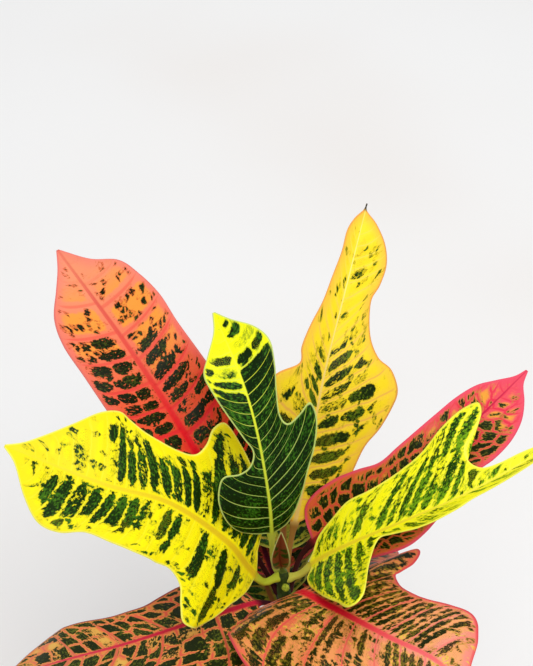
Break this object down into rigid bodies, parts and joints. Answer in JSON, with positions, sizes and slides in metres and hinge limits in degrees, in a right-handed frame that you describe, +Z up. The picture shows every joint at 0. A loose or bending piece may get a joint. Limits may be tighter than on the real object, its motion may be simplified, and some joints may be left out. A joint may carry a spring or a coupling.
{
  "type": "potted croton",
  "caption": "Potted croton: a leafy stem with large lobed, variegated leaves, standing in soil in a plain tapered clay pot.",
  "frame": {"origin": "centre of the pot's flat base, on the surface the pot stands on", "axes": "+Z up along the pot's axis; -Y is the front, the side seen in the picture; +X is to the right in that view"},
  "size_m": [0.3286, 0.3261, 0.423],
  "materials": {
    "clay": "matt unglazed terracotta",
    "earth": "matt crumbly potting soil",
    "bark": "matt green-brown bark with leaf scars",
    "coral": "waxy leaf, coral and orange with dark green blotches",
    "amber": "waxy leaf, golden yellow with dark green blotches",
    "lemon": "waxy leaf, lemon yellow with dark green streaks",
    "green": "waxy leaf, dark green with yellow veins",
    "crimson": "waxy leaf, crimson veins with orange and dark green fields",
    "salmon": "waxy leaf, salmon and orange with dark green streaks",
    "olive": "waxy older leaf, olive green with orange veins"
  },
  "bodies": {
    "root": {"pot": "clay", "soil": "earth", "stem": "bark", "side_bud": "green", "bud_leaf": "green", "leaf_01": "coral", "leaf_02": "amber", "leaf_03": "lemon", "leaf_04": "green", "leaf_05": "crimson", "leaf_06": "lemon", "leaf_07": "salmon", "leaf_08": "crimson", "leaf_09": "olive", "leaf_10": "crimson", "leaf_11": "olive", "leaf_12": "crimson", "leaf_13": "olive", "leaf_14": "crimson", "leaf_15": "olive", "leaf_16": "olive", "leaf_17": "crimson", "leaf_18": "olive", "leaf_19": "crimson", "leaf_20": "olive"}
  },
  "joints": []
}
